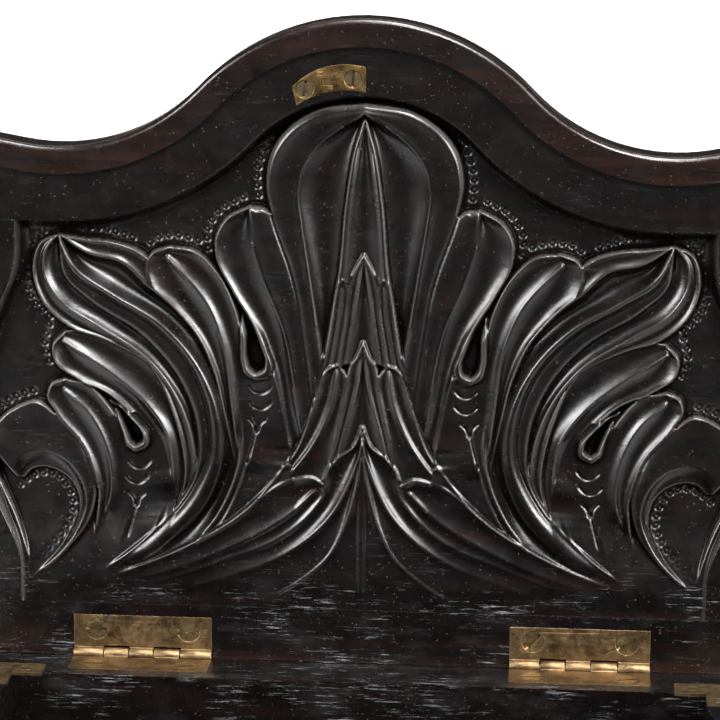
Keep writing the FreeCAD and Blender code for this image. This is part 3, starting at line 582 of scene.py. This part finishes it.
# ---------------------------------------------------------------- finishes
class Finish:
    """A small helper that builds one node material."""

    def __init__(self, name):
        self.material = bpy.data.materials.new(name)
        self.material.use_nodes = True
        self.tree = self.material.node_tree
        self.shader = self.tree.nodes["Principled BSDF"]
        self.place = self.add("ShaderNodeTexCoord").outputs["Object"]

    def add(self, kind, **settings):
        node = self.tree.nodes.new(kind)
        for name, value in settings.items():
            setattr(node, name, value)
        return node

    def link(self, start, end):
        self.tree.links.new(start, end)

    def stretched(self, scale):
        """The object's coordinates scaled along each axis."""
        mapping = self.add("ShaderNodeMapping")
        mapping.inputs["Scale"].default_value = scale
        self.link(self.place, mapping.inputs["Vector"])
        return mapping.outputs["Vector"]

    def noise(self, scale, detail=4.0, stretch=(1, 1, 1), roughness=0.55):
        node = self.add("ShaderNodeTexNoise")
        node.inputs["Scale"].default_value = scale
        node.inputs["Detail"].default_value = detail
        node.inputs["Roughness"].default_value = roughness
        self.link(self.stretched(stretch), node.inputs["Vector"])
        return node.outputs["Fac"]

    def ramp(self, value, stops):
        """Grey levels or colours over a value: stops are (position, colour or grey)."""
        node = self.add("ShaderNodeValToRGB")
        elements = node.color_ramp.elements
        while len(elements) < len(stops):
            elements.new(0.5)
        for element, (position, shade) in zip(elements, stops):
            element.position = position
            element.color = (*shade, 1) if isinstance(shade, tuple) else (shade, shade, shade, 1)
        self.link(value, node.inputs["Fac"])
        return node.outputs["Color"]

    def step(self, value, low, high, level=1.0):
        """Grey that climbs from 0 to a level while the value goes from low to high."""
        return self.ramp(value, ((low, 0.0), (high, level)))

    def mix(self, amount, first, second):
        """Blend two colours; each may be an output or a plain colour."""
        node = self.add("ShaderNodeMix", data_type="RGBA")
        amount_socket, first_socket, second_socket = (node.inputs[place] for place in (0, 6, 7))
        for socket, value in ((amount_socket, amount), (first_socket, first), (second_socket, second)):
            if isinstance(value, bpy.types.NodeSocket):
                self.link(value, socket)
            else:
                socket.default_value = (*value, 1) if isinstance(value, tuple) else value
        return node.outputs[2]

    def over(self, base, colour, mask, strength):
        """Lay a colour over a base where the mask is light."""
        return self.mix(self.product(mask, strength), base, colour)

    def product(self, first, second):
        node = self.add("ShaderNodeMath", operation="MULTIPLY")
        for socket, value in zip(node.inputs, (first, second)):
            if isinstance(value, bpy.types.NodeSocket):
                self.link(value, socket)
            else:
                socket.default_value = value
        return node.outputs[0]

    def attribute(self, name):
        return self.add("ShaderNodeAttribute", attribute_name=name).outputs["Fac"]

    def bump(self, height, strength, distance):
        node = self.add("ShaderNodeBump")
        node.inputs["Strength"].default_value = strength
        node.inputs["Distance"].default_value = distance
        self.link(height, node.inputs["Height"])
        self.link(node.outputs["Normal"], self.shader.inputs["Normal"])

    def set(self, **values):
        for name, value in values.items():
            socket = self.shader.inputs[name.replace("_", " ")]
            if isinstance(value, bpy.types.NodeSocket):
                self.link(value, socket)
            else:
                socket.default_value = value


# Bands of height above the table in metres, with how strong the effect is there.
SCRATCHED_BAND = ((0.07, 0.7), (0.092, 1.0), (0.112, 0.7), (0.122, 0.07))
# the lid's lower arris: a thin light line, partly a rubbed edge and partly a painted highlight
RUBBED_AND_LIT_ARRIS = ((0.0883, 0.0), (0.0886, 1.0), (0.0891, 1.0), (0.0894, 0.0))

BROWN_CLOUD = (0.0036, 0.0024, 0.0022)
SCRATCH = (0.24, 0.25, 0.27)
HAZE = (0.10, 0.10, 0.105)
# colour of the lid's lower arris: a rubbed edge and a painted highlight
BARE_AND_LIT_ARRIS = (0.11, 0.10, 0.095)
DUST = (0.11, 0.085, 0.06)
# light colour of the carving's ridges and edge: rubbed wear and a painted highlight
RUBBED_AND_LIT_RIDGE = (0.13, 0.12, 0.11)
BRASS_PIT = (0.045, 0.03, 0.02)
BRASS_RUB = (0.55, 0.44, 0.28)


def ebony(name, carved=False, heart=(0.0011, 0.0008, 0.0008), tint=(0.0095, 0.0029, 0.0019),
          tint_share=0.5, shine=(0.22, 0.32)):
    """Near-black wood with a faint red-brown grain, rubbed edges lightened partly as a painted highlight, dust,
    haze and fine scratches; when carved, painted shade cuts the gloss in the hollows.
    """
    finish = Finish(name)
    grain = finish.noise(55, 6, (0.35, 4.0, 4.0))
    cloud = finish.noise(14, 3)
    base = finish.over(heart, tint, finish.step(grain, 0.45, 0.75), tint_share)
    base = finish.over(base, BROWN_CLOUD, finish.step(cloud, 0.45, 0.7), 0.35)
    # long thin scratches along the grain, gathered in patches and thickest round the hinge line
    axes = finish.add("ShaderNodeSeparateXYZ")
    finish.link(finish.place, axes.inputs[0])
    height = axes.outputs["Z"]
    band = finish.ramp(height, SCRATCHED_BAND)
    patches = finish.step(finish.noise(38, 6, (0.7, 1.4, 1.4), 0.7), 0.5, 0.64)
    scratches = finish.step(finish.noise(500, 4, (0.16, 2.6, 2.6), 0.8), 0.56, 0.64)
    marks = finish.product(finish.product(scratches, patches), band)
    base = finish.over(base, SCRATCH, marks, 0.9)
    haze = finish.step(finish.noise(60, 7, (0.5, 1.5, 1.5), 0.7), 0.52, 0.75)
    base = finish.over(base, HAZE, finish.product(haze, band), 0.12)
    # painted highlight: a thin light line along the lid's lower arris, partly a rubbed edge
    base = finish.over(base, BARE_AND_LIT_ARRIS, finish.ramp(height, RUBBED_AND_LIT_ARRIS), 0.6)
    base = finish.over(base, DUST, finish.step(finish.noise(1100, 1), 0.7, 0.76), 0.5)
    if carved:
        # ridges and the field's edge lighten: rubbed wear and a painted highlight
        rubbed_and_lit = finish.product(finish.attribute("wear_and_highlight"), finish.ramp(cloud, ((0.3, 0.4), (0.7, 1.0))))
        base = finish.over(base, RUBBED_AND_LIT_RIDGE, rubbed_and_lit, 0.5)
        # painted shade: the carving's hollows lose most of their reflection
        gloss = finish.ramp(finish.attribute("hollow_shade"), ((0.0, 0.5), (0.8, 0.04)))
        finish.set(Specular_IOR_Level=gloss)
    rough = finish.ramp(finish.noise(120, 5), ((0.3, shine[0]), (0.7, shine[1])))
    finish.set(Base_Color=base, Roughness=rough, IOR=1.58)
    finish.bump(finish.noise(420, 6, (0.5, 1.5, 1.5)), 0.16, 0.0004)
    return finish.material


def brass(name, bright=(0.27, 0.18, 0.09), dull=(0.08, 0.05, 0.026), shine=(0.38, 0.56), patina=0.9):
    """Aged brass: brown patina in clouds, fine scratches and small pits."""
    finish = Finish(name)
    cloud = finish.noise(110, 7, roughness=0.65)
    base = finish.mix(finish.step(cloud, 0.38, 0.64, patina), bright, dull)
    base = finish.over(base, BRASS_PIT, finish.step(finish.noise(800, 3), 0.6, 0.68), 0.75)
    rubs = finish.step(finish.noise(600, 4, (0.4, 2, 2), 0.8), 0.58, 0.66)
    base = finish.over(base, BRASS_RUB, rubs, 0.4)
    rough = finish.ramp(finish.noise(420, 5), ((0.3, shine[0]), (0.7, shine[1])))
    finish.set(Base_Color=base, Metallic=1.0, Roughness=rough)
    finish.bump(finish.noise(500, 5), 0.22, 0.0003)
    return finish.material


def steel(name):
    """Dull lock steel."""
    finish = Finish(name)
    base = finish.ramp(finish.noise(90, 5), ((0.35, (0.16, 0.15, 0.14)), (0.7, (0.34, 0.33, 0.32))))
    rough = finish.ramp(finish.noise(300), ((0.3, 0.35), (0.7, 0.6)))
    finish.set(Base_Color=base, Metallic=1.0, Roughness=rough)
    finish.bump(finish.noise(400, 4), 0.15, 0.0002)
    return finish.material


def dress_nodes():
    """Give every CAD piece its finish, and ease its edges."""
    finishes = {
        "ebony": ebony("ebony"),
        "ebony_moulding": ebony("ebony_moulding", heart=(0.0035, 0.0016, 0.0012),
                                tint=(0.018, 0.0062, 0.0035), tint_share=0.9),
        "carved_ebony": ebony("carved_ebony", carved=True, shine=(0.24, 0.33)),
        "aged_brass": brass("aged_brass"),
        "brass_screws": brass("brass_screws", bright=(0.42, 0.31, 0.17), patina=0.6, shine=(0.3, 0.45)),
        "link_brass": brass("link_brass", bright=(0.31, 0.195, 0.075), dull=(0.055, 0.032, 0.016)),
        "lock_steel": steel("lock_steel"),
    }
    slots = {entry["node"]: entry["material_slot"] for entry in frame["record"]["subparts"]}
    for name, thing in nodes.items():
        thing.data.materials.clear()
        thing.data.materials.append(finishes[slots[name]])
        wooden = slots[name] in ("ebony", "ebony_moulding")
        weld = thing.modifiers.new("weld", "WELD")
        weld.merge_threshold = 0.01 * MM
        ease = thing.modifiers.new("ease", "BEVEL")
        ease.width = (0.7 if wooden else 0.26) * MM
        ease.segments = 3 if wooden else 2
        ease.limit_method = "ANGLE"
        ease.angle_limit = math.radians(32)
        ease.harden_normals = True
        ease.use_clamp_overlap = True
    return finishes


def add_carving(finishes):
    """The carved panel in the lid."""
    panel = bpy.data.objects.new("carving", carving_mesh())
    bpy.context.scene.collection.objects.link(panel)
    panel.data.materials.append(finishes["carved_ebony"])
    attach(panel, "lid")
    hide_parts("carved_panel")


# ---------------------------------------------------------------- stage
def add_floor():
    """A wide pale floor."""
    below = cad_low.z - 0.2 * MM
    bpy.ops.mesh.primitive_plane_add(size=40, location=(0, 0, below))
    floor = bpy.context.object
    floor.name = "floor"
    finish = Finish("floor")
    finish.set(Base_Color=(0.86, 0.86, 0.86, 1), Roughness=0.9)
    floor.data.materials.append(finish.material)


def add_light(name, place, target, size, power, spread):
    """A soft rectangular light whose beam is spread over an angle in degrees."""
    data = bpy.data.lights.new(name, "AREA")
    data.shape = "RECTANGLE"
    data.size, data.size_y = size
    data.energy = power
    data.spread = math.radians(spread)
    light = bpy.data.objects.new(name, data)
    bpy.context.scene.collection.objects.link(light)
    light.location = place
    light.rotation_mode = "QUATERNION"
    light.rotation_quaternion = (Vector(target) - Vector(place)).to_track_quat("-Z", "Y")


def add_lights():
    """A key above and to the right, a top light, two side lights, and washes on the floor all round."""
    lid_middle = lid_point(0, 110, 0)
    add_light("key", (0.35, -0.75, 1.35), lid_middle, (0.8, 0.4), 1.8, 30)
    add_light("top", (0.1, -0.15, 1.5), lid_middle, (1.4, 0.5), 2.6, 30)
    add_light("left", (-0.95, -0.72, 0.66), lid_middle, (0.5, 0.8), 1.5, 34)
    add_light("right", (1.05, -0.62, 0.66), lid_middle, (0.5, 0.8), 1.9, 34)
    add_light("wash", (0, 2.4, 1.6), (0, 2.4, 0), (4.4, 2.4), 110, 110)
    for side, x, y, power in (("front", 0, -6, 45), ("left", -6, 0, 150), ("right", 6, 0, 150)):
        add_light("wash_" + side, (x, y, 3.0), (x, y, 0), (6.4, 6.4), power, 60)
    world = bpy.data.worlds.new("surround")
    world.use_nodes = True
    background = world.node_tree.nodes["Background"]
    background.inputs["Color"].default_value = (1, 1, 1, 1)
    background.inputs["Strength"].default_value = 0.03
    bpy.context.scene.world = world
    bpy.context.scene.view_settings.view_transform = "Standard"


add_camera()
add_carving(dress_nodes())
add_floor()
add_lights()
